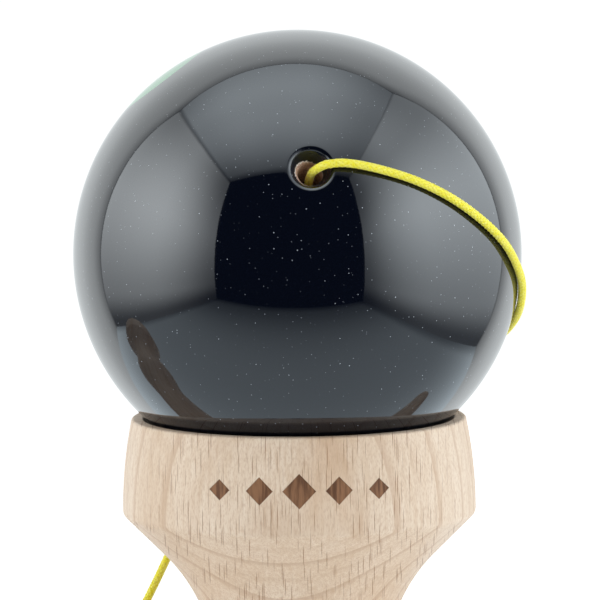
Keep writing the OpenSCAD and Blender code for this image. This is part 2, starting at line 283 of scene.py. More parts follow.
def braided_tube(name, path, walked):
    """A tube whose radius is that of the braid. Strand number and place across a strand come from angle
    minus walk for one way and angle plus walk for the other. Where the two strand numbers add to an even
    number the first lies on top. A strand is a half ellipse across and a gentle hump along. Its height, 0 in
    the gaps and 1 on the crowns, is also stored for the finish."""
    side, other = carried_sides(path)
    share = np.linspace(0, 1, tube_sides, endpoint=False)
    first = strands_each_way * (share[None] - walked[:, None] / strand_lay)
    second = strands_each_way * (share[None] + walked[:, None] / strand_lay)
    first_on_top = (np.floor(first) + np.floor(second)) % 2 == 0
    across = np.where(first_on_top, first, second) % 1
    along = np.where(first_on_top, second, first) % 1
    hump = strand_low + (1 - strand_low) * np.sin(np.pi * along)
    height = np.sqrt(1 - (2 * across - 1) ** 2) * hump
    radius = (string_d / 2 - strand_relief * (1 - height))[..., None]
    angle = 2 * np.pi * share[None, :, None]
    points = path[:, None] + radius * (np.cos(angle) * side[:, None] + np.sin(angle) * other[:, None])
    tube = surface(name, points, poles=(path[0], path[-1]))
    crown = tube.data.attributes.new("crown", "FLOAT", "POINT")
    crown.data.foreach_set("value", np.append(height.ravel(), [0, 0]).astype(np.float32))
    return tube


string_cord = braided_tube("string_cord", string_path, string_walked)
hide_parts("string")

# %% [markdown]
# ## The bead and the knots
# Inside the ball a wooden bead on the string keeps it from slipping out, held by a stopper knot. Another
# knot sits in the handle. A stopper knot is the string's end, turned back and wound round the string, so its
# path is a line, half a circle and a helix.

# %% Bead
bead_r = 4.0
bead_length = 7.0
bead_hole_r = 1.1
bead_place = 17.41
bead_lip = 0.3

lip_place = bead_length / 2 - bead_lip
end_angle = math.degrees(math.asin(bead_length / 2 / bead_r))
bead_profile = np.vstack([
    arc((0, 0), bead_r, -end_angle, end_angle, steps=32),
    arc((bead_hole_r + bead_lip, lip_place), bead_lip, 90, 180, steps=6),
    line((bead_hole_r, lip_place), (bead_hole_r, -lip_place), steps=12)[1:],
    arc((bead_hole_r + bead_lip, -lip_place), bead_lip, 180, 270, steps=6),
])
bead_centre = tama_centre + bead_place * drilled_axis
stopper_bead = surface(
    "stopper_bead", turned(bead_profile, bead_centre, drilled_axis, segments=96), wrap_rows=True)
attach(stopper_bead, "bead")
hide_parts("bead")

# %% Knot in the bead
wrap_turns = 1.5
wrap_pitch = 1.3
wrap_steps = 120
knot_gap = 0.8
string_overlap = 0.1


def wound_end(top, down, side):
    """Path of a stopper knot that hangs from top: down the string, half a circle outwards, then a helix
    round the string back up to the top."""
    down, side = np.array(down, float), np.array(side, float)
    across = np.cross(down, side)
    drop = wrap_turns * wrap_pitch
    fold = arc((string_d / 2, 0), string_d / 2, 180, 0, steps=24)
    folded = top + (drop + fold[:, 1:]) * down + fold[:, :1] * side
    angle = np.linspace(0, 2 * np.pi * wrap_turns, wrap_steps)[:, None]
    climb = (drop - wrap_pitch * angle / (2 * np.pi)) * down
    helix = top + climb + string_d * (np.cos(angle) * side + np.sin(angle) * across)
    return np.vstack([folded, helix[1:]])


across_axis = unit(np.cross(drilled_axis, [0, 0, 1]))
bead_back = tama_centre + (bead_place - bead_length / 2 - knot_gap) * drilled_axis
bead_front = tama_centre + (bead_place + bead_length / 2 + string_overlap) * drilled_axis
bead_tie_route = np.vstack([bead_front, wound_end(bead_back, -drilled_axis, across_axis)])
bead_tie = braided_tube("bead_tie", *evenly(bead_tie_route, ring_spacing))

# %% [markdown]
# The cross hole in the handle lies a little to one side of the hole in the waist. So the handle's end of the
# string makes a soft jog of two arcs, then goes straight to the pocket.

# %% Knot in the handle
seat_r = 8.2
cross_shift = 1.6
cross_hole_r = 1.2
cross_mouth_r = 3.8
knot_pocket_floor = 4.0
mouth_start = seat_r - (cross_mouth_r - cross_hole_r)
seat_margin = 0.15
pocket_gap = 0.7

jog_start = mouth_start - string_d
jog_end = seat_r - seat_margin
jog_turn = 2 * math.degrees(math.atan(cross_shift / (jog_end - jog_start)))
jog_r = (jog_end - jog_start) / (2 * math.sin(math.radians(jog_turn)))
jog = np.vstack([
    arc((-jog_r, jog_end), jog_r, 0, -jog_turn, steps=12),
    arc((jog_r - cross_shift, jog_start), jog_r, 180 - jog_turn, 180, steps=12)[1:],
])
jog = np.hstack([jog, np.full((len(jog), 1), ken_axis_z)])
pocket_top = np.array([-cross_shift, -knot_pocket_floor - pocket_gap, ken_axis_z])
ken_tie_route = np.vstack([jog, wound_end(pocket_top, (0, -1, 0), (1, 0, 0))])
ken_tie = braided_tube("ken_tie", *evenly(ken_tie_route, ring_spacing))

for tie, body, node in ((bead_tie, "bead", "bead_knot"), (ken_tie, "ken", "ken_knot")):
    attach(tie, body)
    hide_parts(node)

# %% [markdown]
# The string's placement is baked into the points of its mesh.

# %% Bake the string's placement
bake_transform(string_cord)

# %% [markdown]
# ## The ball
# The ball is one turned form about its drilled axis: the sphere, the rounded lip and countersink of the
# string hole, the pocket that holds the bead, and the wide spike hole with its bevel. A ring-shaped profile
# closes on itself.

# %% Profile of the ball
spike_hole_r = 11.0
spike_bevel = 1.5
spike_wall_end = 10.5
pocket_r = 4.7
pocket_span = (14.285, 19.485)
string_hole_r = 1.65
string_hole_start = 21.32
mouth_r = 2.75
mouth_depth = 2.0
lip_round = 0.65


def lip(sphere_r, rounding):
    """The rounded lip between the countersink and the sphere, and the polar angle where it meets the sphere.
    Its circle touches both: the centre lies one rounding off the countersink's line and sphere radius minus
    rounding from the ball's centre."""
    top = np.array([mouth_r, math.sqrt(sphere_r**2 - mouth_r**2)])
    slope = unit(np.array([mouth_r - string_hole_r, mouth_depth]))
    inward = np.array([slope[1], -slope[0]])
    start = top + rounding * inward
    ahead = start @ slope
    centre = start + (math.sqrt(ahead**2 - start @ start + (sphere_r - rounding) ** 2) - ahead) * slope
    from_angle = math.degrees(math.atan2(-inward[1], -inward[0])) % 360
    to_angle = math.degrees(math.atan2(centre[1], centre[0]))
    polar = math.degrees(math.asin(centre[0] / (sphere_r - rounding)))
    return arc(centre, rounding, to_angle, from_angle, steps=10), polar


lip_points, lip_polar = lip(tama_r, lip_round)
mouth_bottom = math.sqrt(tama_r**2 - mouth_r**2) - mouth_depth
bevel_r = spike_hole_r + spike_bevel
bevel_place = -math.sqrt(tama_r**2 - bevel_r**2)
bevel_polar = 180 - math.degrees(math.asin(bevel_r / tama_r))
sphere_points = arc((0, 0), tama_r, 90 - bevel_polar, 90 - lip_polar, steps=190)
bore_corners = [
    (string_hole_r, mouth_bottom), (string_hole_r, string_hole_start), (pocket_r, pocket_span[1]),
    (pocket_r, pocket_span[0]), (spike_hole_r, spike_wall_end),
    (spike_hole_r, bevel_place + spike_bevel), (bevel_r, bevel_place),
]
bore_steps = [16, 4, 6, 6, 40, 4]
tama_profile = np.vstack([
    sphere_points[:-1],
    lip_points,
    line(lip_points[-1], bore_corners[0], steps=8)[1:],
    *map(line, bore_corners[:-1], bore_corners[1:], bore_steps),
])
print("ball profile points:", len(tama_profile))

# %% [markdown]
# A value stored on each point says how far into bare wood it lies, for the ragged edge of the lacquer. In the
# string hole it leans, so the black reaches further down the right side than the left, as painted shade
# there.

# %% Ball
spike_paint_depth = 1.2
bare_above = 0.05
painted_shade_lean = 0.32
coated_depth = -3
hair = 0.01
tama_points = turned(tama_profile, tama_centre, drilled_axis, segments=256)
tama_ball = surface("tama_ball", tama_points, wrap_rows=True)
in_hole = tama_profile[:, 0] < spike_hole_r + hair
past_mouth = mouth_bottom + bare_above - tama_profile[:, 1]
past_bevel = tama_profile[:, 1] - (bevel_place + spike_bevel + spike_paint_depth)
past_lip = np.arange(len(tama_profile)) > len(sphere_points)
bare_depth_and_shade = np.where(in_hole & past_lip, np.minimum(past_mouth, past_bevel), coated_depth)
left_of_mouth = (tama_centre + tama_r * drilled_axis)[0] - tama_points[..., 0]
in_string_hole = in_hole & past_lip & (tama_profile[:, 1] > 0)
# Painted shade: in the string hole the depth leans, so black lacquer covers the right wall, which lies in
# shade.
bare_depth_and_shade = bare_depth_and_shade[:, None] + np.where(in_string_hole[:, None], painted_shade_lean * left_of_mouth, 0)
bare = tama_ball.data.attributes.new("bare_depth_and_shade", "FLOAT", "POINT")
bare.data.foreach_set("value", bare_depth_and_shade.ravel().astype(np.float32))
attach(tama_ball, "tama")
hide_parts("tama")

# %% [markdown]
# ## The double cup
# The double cup is turned from one block. Each cup has a waist, a sweep that opens it, a corner, a slightly
# drawn-in band, a rounded rim and a dish. One function gives the profile of a cup, and the small cup is the
# same function upside down. The bore and the string hole are drilled with Boolean cuts.

# %% Profile of a cup
corner_round = 1.2
rim_round = 0.4


def cup(waist, straight, flare, length, wide, rim, seat, band, dish):
    """Profile of a cup as [radius, height]: an arc that leaves the waist upright and ends at the flare
    angle, a straight flank, a rounded corner, a band that is an arc from the widest radius to the rim, a
    rounded rim, and a dish that is an arc touching the rim's inner rounding."""
    rad = math.radians(flare)
    rise = length - band - straight
    sweep_r = (rise - (wide - waist) / math.tan(rad)) / (math.sin(rad) - (1 - math.cos(rad)) / math.tan(rad))
    band_start = length - band + corner_round * math.tan(rad / 2)
    band_rise = length - rim_round - band_start
    draw_in = wide - rim
    band_r = (band_rise**2 + draw_in**2) / (2 * draw_in)
    band_turn = math.degrees(math.asin(band_rise / band_r))
    dish_r = (seat**2 + dish**2) / (2 * dish)
    edge_r = math.sqrt((dish_r + rim_round) ** 2 - (dish_r + rim_round - dish) ** 2)
    edge_turn = math.degrees(math.asin(edge_r / (dish_r + rim_round)))
    sweep = arc((waist + sweep_r, straight), sweep_r, 180, 180 - flare, steps=40)
    corner = arc((wide - corner_round, band_start), corner_round, -flare, 0, steps=12)
    return np.vstack([
        sweep,
        line(sweep[-1], corner[0], steps=6)[1:],
        corner,
        arc((wide - band_r, band_start), band_r, 0, band_turn, steps=24)[1:],
        arc((rim - rim_round, length - rim_round), rim_round, 0, 90, steps=8)[1:],
        line((rim - rim_round, length), (edge_r, length), steps=4)[1:],
        arc((edge_r, length - rim_round), rim_round, 90, 90 + edge_turn, steps=8),
        arc((0, length - dish + dish_r), dish_r, edge_turn - 90, -90, steps=40)[1:],
    ])


# %% Cuts
def cut(piece, *tools):
    """Takes each tool's solid out of the piece, keeps the result as its mesh and drops the tools."""
    for tool in tools:
        step = piece.modifiers.new("cut", "BOOLEAN")
        step.operation = "DIFFERENCE"
        step.solver = "EXACT"
        step.object = tool
    bpy.context.view_layer.update()
    whole = piece.evaluated_get(bpy.context.evaluated_depsgraph_get())
    result = bpy.data.meshes.new_from_object(whole)
    piece.modifiers.clear()
    piece.data = result
    for tool in tools:
        bpy.data.objects.remove(tool)
    result.set_sharp_from_angle(angle=sharp_angle)
    print(piece.name, "has", len(result.polygons), "faces after", len(tools), "cuts")


def drill(name, profile, origin, along):
    """A turned cutting tool: the profile's two ends are closed with flat caps."""
    profile = np.array(profile, float)
    along = np.array(along, float)
    ends = [np.array(origin) + place * along for place in (profile[0, 1], profile[-1, 1])]
    return surface(name, turned(profile, origin, along, segments=96), poles=ends)


# %% Double cup
waist_r = 11.5
waist_straight = 2.0
cup_flare = 45
big = dict(length=36.7, wide=23.7, rim=22.5, seat=20.9, band=12.8, dish=10.5)
small = dict(length=32.5, wide=21.5, rim=20.7, seat=19.1, band=11.5, dish=9.0)

big_profile = cup(waist_r, waist_straight, cup_flare, **big)
small_profile = cup(waist_r, waist_straight, cup_flare, **small)
cup_profile = np.vstack([big_profile[-2::-1], small_profile[:-1] * [1, -1]])
cup_centre = np.array([0, 0, ken_axis_z])
double_cup = surface(
    "double_cup", turned(cup_profile, cup_centre, (0, 0, 1), segments=224),
    poles=(cup_centre + [0, 0, big_profile[-1, 1]], cup_centre - [0, 0, small_profile[-1, 1]]),
)

# %% Bore and string hole
seat_taper = 0.0175
seat_clearance = 0.03
waist_hole_r = 2.0
waist_hole_bevel = 0.5
past_waist = 2
string_bore_start = 4

bore_half = waist_r + past_waist
taper_bore = drill(
    "taper_bore",
    [(seat_r + seat_clearance + seat_taper * bore_half, -bore_half),
     (seat_r + seat_clearance - seat_taper * bore_half, bore_half)],
    cup_centre, (1, 0, 0),
)
string_bore = drill(
    "string_bore",
    [(waist_hole_r, string_bore_start), (waist_hole_r, waist_r - waist_hole_bevel),
     (waist_hole_r + 3 * waist_hole_bevel, waist_r + 2 * waist_hole_bevel)],
    cup_centre, (0, 1, 0),
)
cut(double_cup, taper_bore, string_bore)
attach(double_cup, "sarado")
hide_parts("sarado")

# %% [markdown]
# ## The handle
# The handle is turned too: a blunt spike, the tapered seat that wedges in the cup, a neck, a swelling grip, a
# collar and a base cup. The soft swells between stations are half cosines. A cross hole for the string, with
# a countersink on one side and a pocket for the knot on the other, is drilled through the seat.

# %% Handle
spike_reach = 53.0
tip_round = 4.2
neck = (9.3, 50.0)
grip = (13.5, 68.0)
collar = (11.4, 81.0)
base = dict(length=29.0, wide=18.0, rim=17.2, seat=15.5, band=12.5, dish=9.5)
base_flare = 30


def swell(start, end, steps):
    """A soft step between two [radius, reach] stations. Radius follows half a cosine, reach goes evenly."""
    share = np.linspace(0, 1, steps + 1)[1:, None]
    ease = (1 - np.cos(np.pi * share)) / 2
    start, end = np.array(start), np.array(end)
    return np.hstack([start[0] + ease * (end[0] - start[0]), start[1] + share * (end[1] - start[1])])


def seat_radius(reach):
    """Radius of the tapered seat at a reach towards the base."""
    return seat_r + seat_taper * reach


spike_root = (seat_radius(-waist_r), -waist_r)
spike_lean = math.degrees(math.atan((spike_root[0] - tip_round) / (spike_reach - tip_round - waist_r)))
neck_start = (seat_radius(waist_r), waist_r)
base_profile = cup(collar[0], 0, base_flare, **base) + [0, collar[1]]
tip = arc((0, tip_round - spike_reach), tip_round, -90, -spike_lean, steps=24)
ken_profile = np.vstack([
    tip[1:],
    line(tip[-1], spike_root, steps=24)[1:],
    line(spike_root, neck_start, steps=12),
    [neck_start],
    swell(neck_start, neck, steps=30),
    swell(neck, grip, steps=36),
    swell(grip, collar, steps=30),
    base_profile[1:-1],
])
ken_handle = surface(
    "ken_handle", turned(ken_profile, cup_centre, (-1, 0, 0), segments=192),
    poles=(cup_centre + [spike_reach, 0, 0], cup_centre - [base_profile[-1, 1], 0, 0]),
)

# %% Cross hole
knot_pocket_r = 2.5
past_seat = 1
cross_hole = drill(
    "cross_hole",
    [(knot_pocket_r, -seat_r - past_seat), (knot_pocket_r, -knot_pocket_floor),
     (cross_hole_r, -knot_pocket_floor), (cross_hole_r, mouth_start),
     (cross_mouth_r + past_seat, seat_r + past_seat)],
    cup_centre - [cross_shift, 0, 0], (0, 1, 0),
)
cut(ken_handle, cross_hole)
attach(ken_handle, "ken")
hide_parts("ken")

# %% [markdown]
# ## Finishes
# Each finish is a node tree on a Principled shader. A small helper adds a node, sets its options and joins
# its inputs, so a recipe reads from the coordinates at the top to the shader at the bottom.

# %% Node helpers
def add(tree, kind, feeds=None, **options):
    """A shader node of this kind with these options, and its inputs fed with values or sockets."""
    made = tree.nodes.new("ShaderNode" + kind)
    for option, value in options.items():
        setattr(made, option, value)
    for key, value in (feeds or {}).items():
        if isinstance(value, bpy.types.NodeSocket):
            tree.links.new(value, made.inputs[key])
        else:
            made.inputs[key].default_value = value
    return made


def maths(tree, operation, first, second=0.0, third=0.0):
    """One sum, product or comparison of up to three numbers or sockets."""
    return add(tree, "Math", {0: first, 1: second, 2: third}, operation=operation).outputs[0]


def product(tree, first, *others):
    """The product of two or more numbers or sockets."""
    for other in others:
        first = maths(tree, "MULTIPLY", first, other)
    return first


def ease(tree, value, low, high):
    """0 below low, 1 above high and a smooth step between them."""
    return add(tree, "MapRange", {"Value": value, "From Min": low, "From Max": high},
               interpolation_type="SMOOTHSTEP").outputs["Result"]


def between(tree, share, low, high):
    """The number low where share is 0 and high where it is 1."""
    return maths(tree, "MULTIPLY_ADD", share, high - low, low)


# %% Colour helpers
def colour(red, green, blue):
    """A colour given as screen values from 0 to 255, as the linear colour that the shader takes."""
    screen = np.array([red, green, blue]) / 255
    linear = np.where(screen <= 0.04045, screen / 12.92, ((screen + 0.055) / 1.055) ** 2.4)
    return (*linear.tolist(), 1.0)


def mix(tree, share, first, second):
    """The first colour where share is 0 and the second where it is 1."""
    return add(tree, "Mix", {0: share, 6: first, 7: second}, data_type="RGBA").outputs[2]


def tinted(tree, shade, share, most, tone):
    """The shade with a tone laid over it. The tone's part in it is share times most."""
    return mix(tree, product(tree, share, most), shade, tone)


# %% Coordinates and noise
def in_mm(tree, turn=(0, 0, 0), offset=(0, 0, 0)):
    """Coordinates fixed to the piece, in mm, turned so that the pattern's own axis is Z."""
    place = add(tree, "TexCoord").outputs["Object"]
    return add(tree, "Mapping", {"Vector": place, "Rotation": turn, "Scale": (1000, 1000, 1000),
                                 "Location": offset}).outputs["Vector"]


def stretched(tree, place, scale):
    """The coordinates scaled along each axis, for dashes and streaks."""
    return add(tree, "VectorMath", {0: place, 1: scale}, operation="MULTIPLY").outputs[0]


def noise(tree, place, scale, detail):
    """Smooth noise from 0 to 1. The scale gives the spots to the mm along each axis."""
    spots = {"Vector": stretched(tree, place, scale), "Scale": 1.0, "Detail": detail}
    return add(tree, "TexNoise", spots).outputs["Fac"]


# %% Start and end of a finish
def finish(name, pieces):
    """An empty finish with a Principled shader, put on the pieces. Gives its tree and the shader."""
    material = bpy.data.materials.new(name)
    material.use_nodes = True
    for piece in pieces:
        piece.data.materials.clear()
        piece.data.materials.append(material)
    print("finish", name, "on", [piece.name for piece in pieces])
    return material.node_tree, material.node_tree.nodes["Principled BSDF"]


def tune(shader, settings):
    """Sets inputs of the shader to plain values."""
    for name, value in settings.items():
        shader.inputs[name].default_value = value


def dress(tree, shader, shade, height, strength, depth):
    """Joins the colour to the shader, and the height as a fine relief with this strength and depth in mm."""
    bump = add(tree, "Bump", {"Height": height, "Strength": strength, "Distance": depth * mm})
    tree.links.new(shade, shader.inputs["Base Color"])
    tree.links.new(bump.outputs["Normal"], shader.inputs["Normal"])


# %% [markdown]
# ### Beech
# Beech is pale and slightly pink. Its grain is one block pattern in the piece's own coordinates, so it runs
# through the wood and turns the corner at every rim as real grain does. First come the growth rings, which a
# cone cuts into U-shaped lines. A second wave at half the pace makes every other ring fainter.

# %% Growth rings
ring_pace = 0.136
ring_waver = 1.0
ring_waver_pace = 0.25
faint_ring = 0.3


def ring_wave(tree, place, slower):
    """Wavering saw-tooth rings about Z, this many times slower than the growth rings."""
    wave = {"Vector": place, "Scale": ring_pace / slower, "Distortion": ring_waver / slower, "Detail": 2.0,
            "Detail Scale": ring_waver_pace * slower}
    return add(tree, "TexWave", wave, wave_type="RINGS", rings_direction="Z",
               wave_profile="SAW").outputs["Fac"]


def late_wood(tree, place):
    """1 in the dark late wood at the end of a ring, and less in every other ring."""
    ring = ring_wave(tree, place, slower=1)
    darkens = ease(tree, ring, 0.58, 0.95)
    ends = ease(tree, ring, 1.0, 0.96)
    strong = ease(tree, ring_wave(tree, place, slower=2), 0.5, 0.75)
    return product(tree, darkens, ends, between(tree, strong, faint_ring, 1))


# %% [markdown]
# Then come the rays: thin brown sheets that stand along the grain and show edge-on as short dashes. Seen flat
# on, at the sides, they are only faint flakes. Cells that are narrow, deep and long give them.

# %% Rays
ray_cells = (4.6, 0.07, 0.14)
flat_ray = 0.2


def wood_rays(tree, place, turn):
    """1 near the middle of a ray's cell, and less where the face lies flat on the rays. A random weight for
    each cell makes some rays fainter."""
    ray = add(tree, "TexVoronoi", {"Vector": stretched(tree, place, ray_cells), "Scale": 1.0})
    weight = add(tree, "SeparateColor", {0: ray.outputs["Color"]}).outputs["Red"]
    dash = ease(tree, ray.outputs["Distance"], 0.29, 0.16)
    faces = {"Vector": add(tree, "TexCoord").outputs["Normal"], "Rotation": turn}
    facing = add(tree, "Mapping", faces, vector_type="VECTOR").outputs["Vector"]
    flat_on = maths(tree, "ABSOLUTE", add(tree, "SeparateXYZ", {0: facing}).outputs["X"])
    edge_on = ease(tree, flat_on, 0.95, 0.6)
    return product(tree, dash, ease(tree, weight, -0.5, 0.6), between(tree, edge_on, flat_ray, 1))


# %% [markdown]
# The wood's tone drifts slowly, with finer streaks along the grain. Rings, fibres and rays are laid over it,
# each up to its own share. Rays, fibres and burnt marks also give a fine relief.

# %% Beech
pale_wood = colour(240, 225, 206)
deep_wood = colour(214, 189, 161)
stain_tone = colour(204, 168, 132)
late_tone, late_most = colour(188, 154, 124), 0.42
fibre_tone, fibre_most = colour(204, 176, 150), 0.52
ray_tone, ray_most = colour(140, 88, 52), 0.68
burnt_pale = colour(146, 108, 80)
burnt_dark = colour(98, 68, 50)
fibre_height = 0.8
burnt_height = -4.0


def beech(name, piece, turn, pith, stain=None, mark=None):
    """Beech with its grain along Z after the turn, and the middle of the tree at the pith offset in mm."""
    tree, shader = finish(name, [piece])
    place = in_mm(tree, turn, pith)
    broad = noise(tree, place, (0.09, 0.09, 0.025), detail=3.0)
    streak = noise(tree, place, (2.2, 2.2, 0.06), detail=4.0)
    fibre = noise(tree, place, (6.0, 6.0, 1.6), detail=2.0)
    rays = wood_rays(tree, place, turn)
    tone = maths(tree, "MULTIPLY_ADD", streak, 0.45, product(tree, broad, 0.65))
    shade = mix(tree, ease(tree, tone, 0.35, 0.85), pale_wood, deep_wood)
    if stain:
        shade = mix(tree, stain(tree), shade, stain_tone)
    shade = tinted(tree, shade, late_wood(tree, place), late_most, late_tone)
    shade = tinted(tree, shade, ease(tree, fibre, 0.42, 0.7), fibre_most, fibre_tone)
    shade = tinted(tree, shade, rays, ray_most, ray_tone)
    height = maths(tree, "MULTIPLY_ADD", rays, -1.0, product(tree, fibre, fibre_height))
    if mark:
        marked = mark(tree)
        burnt = mix(tree, ease(tree, streak, 0.35, 0.65), burnt_pale, burnt_dark)
        shade = mix(tree, marked, shade, burnt)
        height = maths(tree, "MULTIPLY_ADD", marked, burnt_height, height)
    dress(tree, shader, shade, height, strength=0.7, depth=0.04)
    tune(shader, {"Roughness": 0.5, "Specular IOR Level": 0.2})


# %% [markdown]
# The front of the big cup carries a small burnt ornament, a plain row of lozenges that grow towards the
# middle. The nearest lozenge's number sets its size. The sum of the distances sideways and upwards, each
# over the lozenge's own half width and half height, is under that size inside it.

# %% Burnt lozenges
lozenge_pitch = 5.2
lozenge_half_width = 2.2
lozenge_half_height = 2.3
lozenge_shrink = 0.2
lozenge_z = 62.3
lozenge_reach = 2
lozenge_front = -18.5


def burnt_lozenges(tree):
    """1 inside the lozenges on the outside of the cup's front and 0 elsewhere."""
    place = add(tree, "SeparateXYZ", {0: in_mm(tree)})
    spaced = maths(tree, "DIVIDE", place.outputs["X"], lozenge_pitch)
    number = maths(tree, "ROUND", spaced)
    sideways = maths(tree, "ABSOLUTE", maths(tree, "SUBTRACT", spaced, number))
    upwards = maths(tree, "ABSOLUTE", maths(tree, "SUBTRACT", place.outputs["Z"], lozenge_z))
    across = product(tree, sideways, lozenge_pitch / lozenge_half_width)
    spread = maths(tree, "MULTIPLY_ADD", upwards, 1 / lozenge_half_height, across)
    from_middle = maths(tree, "ABSOLUTE", number)
    size = maths(tree, "MULTIPLY_ADD", from_middle, -lozenge_shrink, 1.0)
    inside = ease(tree, maths(tree, "SUBTRACT", size, spread), -0.02, 0.03)
    in_row = maths(tree, "LESS_THAN", from_middle, lozenge_reach + 0.5)
    in_front = maths(tree, "LESS_THAN", place.outputs["Y"], lozenge_front)
    return product(tree, inside, in_row, in_front)


# %% Put the beech on
stain_x = 4.7
stain_half = 6.0
stain_most = 0.45
stain_spots = (0.25, 0.25, 0.1)
band_foot = 56.4


def tan_streak(tree):
    """A warm streak down the front of the band, a little right of the middle, that fades to both sides."""
    place = add(tree, "SeparateXYZ", {0: in_mm(tree)})
    aside = maths(tree, "ABSOLUTE", maths(tree, "SUBTRACT", place.outputs["X"], stain_x))
    patchy = ease(tree, noise(tree, in_mm(tree), stain_spots, detail=2.0), 0.3, 0.6)
    near = ease(tree, aside, stain_half, 0.5)
    in_front = ease(tree, place.outputs["Y"], -8.0, -16.0)
    on_band = ease(tree, place.outputs["Z"], band_foot - 1.5, band_foot + 0.5)
    return product(tree, near, patchy, in_front, on_band, stain_most)


beech("cup_beech", double_cup, (0, 0, 0), (-9.0, -62.9, 0.0), tan_streak, burnt_lozenges)
beech("handle_beech", ken_handle, (0, math.radians(90), 0), (21.0, 44.0, 0.0))

# %% [markdown]
# ### Black lacquer
# The ball is dipped in glossy lacquer, black with a little navy in it, and fine pale flecks lie in the coat.
# One plain mint dot sits near the ball's upper left edge.

# %% Flecks and dot
fleck_cell = 0.6
fleck_r = 0.065
fleck_rarity = 4.0
dot_way = np.array([-0.6, 0.02, 0.8])
dot_turn = math.radians(12.3)
dot_blur = 0.05


def flecks(tree, place):
    """Flecks, one to a small cell. A high power of a random number makes most of them too faint to see."""
    fleck = add(tree, "TexVoronoi", {"Vector": place, "Scale": 1 / fleck_cell})
    chance = add(tree, "SeparateColor", {0: fleck.outputs["Color"]}).outputs["Red"]
    edge = fleck_r / fleck_cell
    spot = ease(tree, fleck.outputs["Distance"], 1.3 * edge, 0.7 * edge)
    return product(tree, spot, maths(tree, "POWER", chance, fleck_rarity))


def mint_dot(tree, place):
    """1 within the dot: nearer to its middle than the chord of the angle from there to its edge."""
    middle = (tama_centre + tama_r * unit(dot_way)).tolist()
    from_dot = add(tree, "VectorMath", {0: place, 1: middle}, operation="DISTANCE").outputs["Value"]
    chord = 2 * tama_r * math.sin(dot_turn / 2)
    return ease(tree, from_dot, chord + dot_blur, chord - dot_blur)


# %% [markdown]
# The lacquer runs into the countersink and breaks off in a ragged edge. Past it the drill left bare wood with
# fine rings round the hole, and the wood is palest along the edge.

# %% Bare wood in the holes
bare_dark = colour(206, 166, 148)
bare_pale = colour(242, 214, 196)
mark_tone, mark_most = colour(158, 112, 86), 0.5
edge_tone = colour(246, 238, 230)
ragged_reach = 0.9


def bare_holes(tree, place, depth):
    """The share of bare wood, its colour and its fibres. Bare is where the stored depth, moved by noise up to
    half the ragged reach either way, is above zero."""
    ragged = noise(tree, place, (3.2, 3.2, 3.2), detail=3.0)
    past_edge = maths(tree, "MULTIPLY_ADD", ragged, ragged_reach,
                      maths(tree, "SUBTRACT", depth, ragged_reach / 2))
    fibre = noise(tree, place, (6, 1.5, 3), detail=4.0)
    wood = mix(tree, ease(tree, fibre, 0.3, 0.7), bare_dark, bare_pale)
    rings = add(tree, "TexNoise", {"W": depth, "Scale": 1.6, "Detail": 2.0}, noise_dimensions="1D")
    wood = tinted(tree, wood, ease(tree, rings.outputs["Fac"], 0.45, 0.65), mark_most, mark_tone)
    wood = mix(tree, ease(tree, past_edge, 0.22, 0.05), wood, edge_tone)
    return ease(tree, past_edge, -0.05, 0.05), wood, fibre


# %% Black lacquer
lacquer_ior = 1.6
lacquer_tone = colour(8, 12, 23)
fleck_tone = colour(190, 200, 212)
dot_tone = colour(84, 156, 108)
coat_roughness = 0.04
mouth_roughness = 0.34
bare_rougher = 0.4
bare_height = 20.0


def black_lacquer(piece):
    """Lacquer with flecks and a dot, duller down the mouth of a hole, and bare wood further in.
    Down the string hole's right side the black also stands for painted shade.
    """
    tree, shader = finish("black_lacquer", [piece])
    place = in_mm(tree)
    depth = add(tree, "Attribute", attribute_name="bare_depth_and_shade").outputs["Fac"]
    bare_share, wood, fibre = bare_holes(tree, place, depth)
    coat = mix(tree, flecks(tree, place), lacquer_tone, fleck_tone)
    coat = mix(tree, mint_dot(tree, place), coat, dot_tone)
    shade = mix(tree, bare_share, coat, wood)
    gloss = between(tree, ease(tree, depth, -1.9, -1.2), coat_roughness, mouth_roughness)
    roughness = maths(tree, "MULTIPLY_ADD", bare_share, bare_rougher, gloss)
    tree.links.new(roughness, shader.inputs["Roughness"])
    peel = noise(tree, place, (0.5, 0.5, 0.5), detail=2.0)
    fibres = product(tree, fibre, bare_height)
    height = maths(tree, "MULTIPLY_ADD", bare_share, fibres, peel)
    dress(tree, shader, shade, height, strength=1.0, depth=0.0025)
    tune(shader, {"IOR": lacquer_ior})


black_lacquer(tama_ball)

# %% [markdown]
# ### Bead wood and yellow braid
# The bead is plain brown wood with streaks along its hole. The string is bright yellow nylon: glossy fibres,
# slightly see-through at the edges, with small changes of tone from strand to strand.

# %% Bead wood and yellow braid
def bead_wood(piece):
    """Brown wood with streaks along the bead's hole."""
    tree, shader = finish("bead_wood", [piece])
    streak = noise(tree, in_mm(tree), (2.5, 0.5, 1.5), detail=4.0)
    shade = mix(tree, ease(tree, streak, 0.3, 0.7), colour(196, 150, 104), colour(150, 104, 66))
    dress(tree, shader, shade, streak, strength=0.4, depth=0.05)
    tune(shader, {"Roughness": 0.45})


